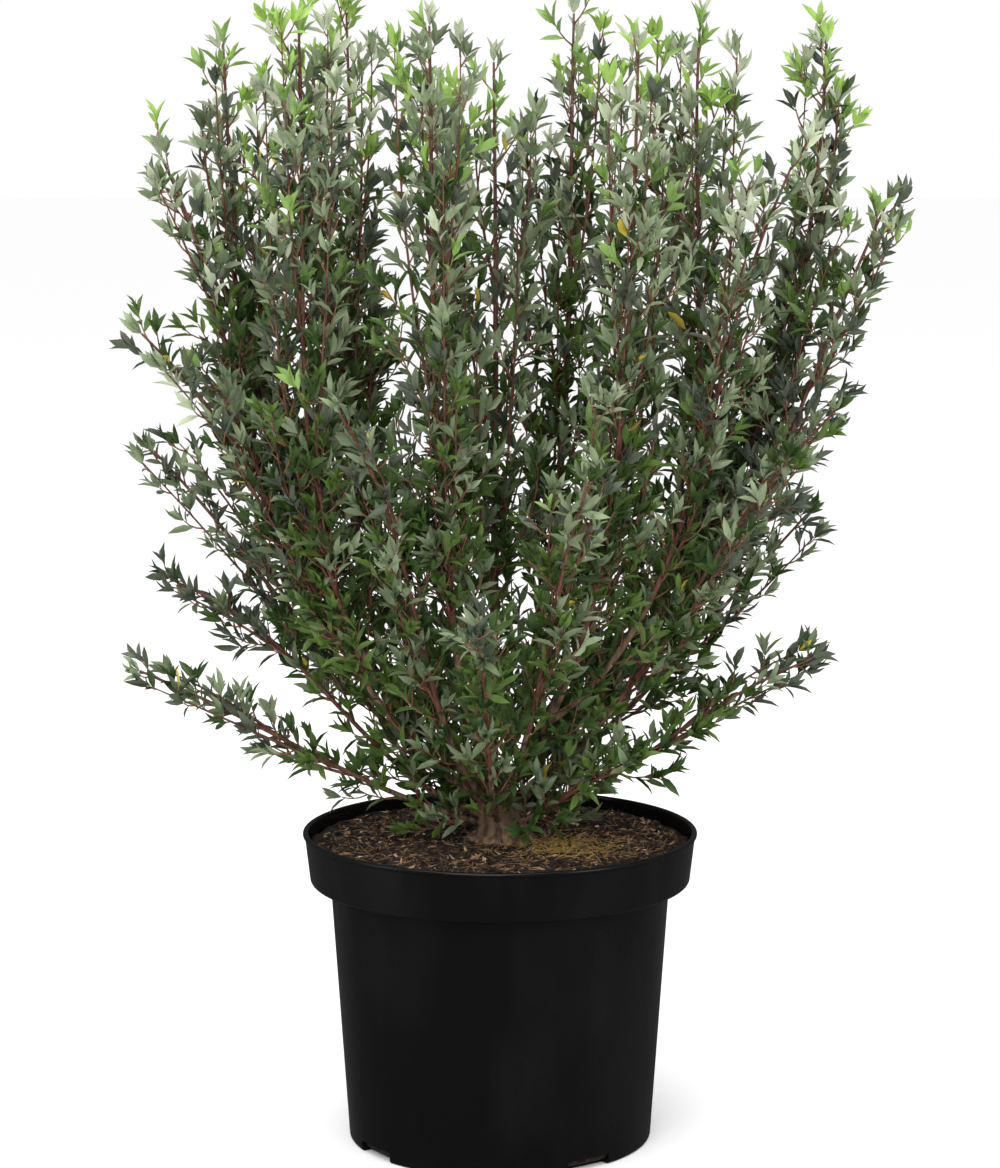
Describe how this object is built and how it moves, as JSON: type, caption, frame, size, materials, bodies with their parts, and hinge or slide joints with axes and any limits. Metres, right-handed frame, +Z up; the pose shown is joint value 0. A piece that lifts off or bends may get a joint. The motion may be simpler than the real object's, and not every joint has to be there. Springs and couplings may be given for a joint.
{
  "type": "potted silver sheen tea tree",
  "caption": "Many-stemmed evergreen shrub with small silvery leaves and a flat clipped top, growing in a round black nursery pot filled with potting mix.",
  "frame": {"origin": "middle of the pot's flat underside", "axes": "+Z up along the pot's axis; the picture looks along +Y, with +X to its right"},
  "size_m": [0.5421, 0.4125, 0.812],
  "materials": {
    "pot_plastic": "glossy black moulded plastic",
    "potting_mix": "moist fibrous bark compost",
    "bark": "thin flaking brown bark",
    "foliage": "small silvery green leaves"
  },
  "bodies": {
    "root": {"pot": "pot_plastic", "potting_mix": "potting_mix", "trunk": "bark", "bough_centre": "bark", "bough_far_left": "bark", "bough_front_left": "bark", "bough_back_right": "bark", "bough_front_right": "bark", "bough_far_right": "bark", "bough_left_front": "bark", "bough_left_back": "bark", "bough_right_inner": "bark", "bough_back": "bark", "bough_shoulder_left": "bark", "bough_shoulder_right": "bark", "bough_shoulder_front_right": "bark", "bough_shoulder_back_right": "bark", "bough_shoulder_back_left": "bark", "bough_side_left_high": "bark", "bough_side_left_low": "bark", "bough_side_right_high": "bark", "bough_side_right_low": "bark", "bough_front_left_arch": "bark", "bough_front_right_arch": "bark", "bough_skirt_left_upper": "bark", "bough_skirt_left": "bark", "bough_skirt_right": "bark", "bough_skirt_front": "bark", "bough_skirt_front_right": "bark", "bough_skirt_back_right": "bark", "bough_skirt_back_left": "bark", "foliage_centre": "foliage", "foliage_far_left": "foliage", "foliage_front_left": "foliage", "foliage_back_right": "foliage", "foliage_front_right": "foliage", "foliage_far_right": "foliage", "foliage_left_front": "foliage", "foliage_left_back": "foliage", "foliage_right_inner": "foliage", "foliage_back": "foliage", "foliage_shoulder_left": "foliage", "foliage_shoulder_right": "foliage", "foliage_shoulder_front_right": "foliage", "foliage_shoulder_back_right": "foliage", "foliage_shoulder_back_left": "foliage", "foliage_side_left_high": "foliage", "foliage_side_left_low": "foliage", "foliage_side_right_high": "foliage", "foliage_side_right_low": "foliage", "foliage_front_left_arch": "foliage", "foliage_front_right_arch": "foliage", "foliage_skirt_left_upper": "foliage", "foliage_skirt_left": "foliage", "foliage_skirt_right": "foliage", "foliage_skirt_front": "foliage", "foliage_skirt_front_right": "foliage", "foliage_skirt_back_right": "foliage", "foliage_skirt_back_left": "foliage"}
  },
  "joints": []
}
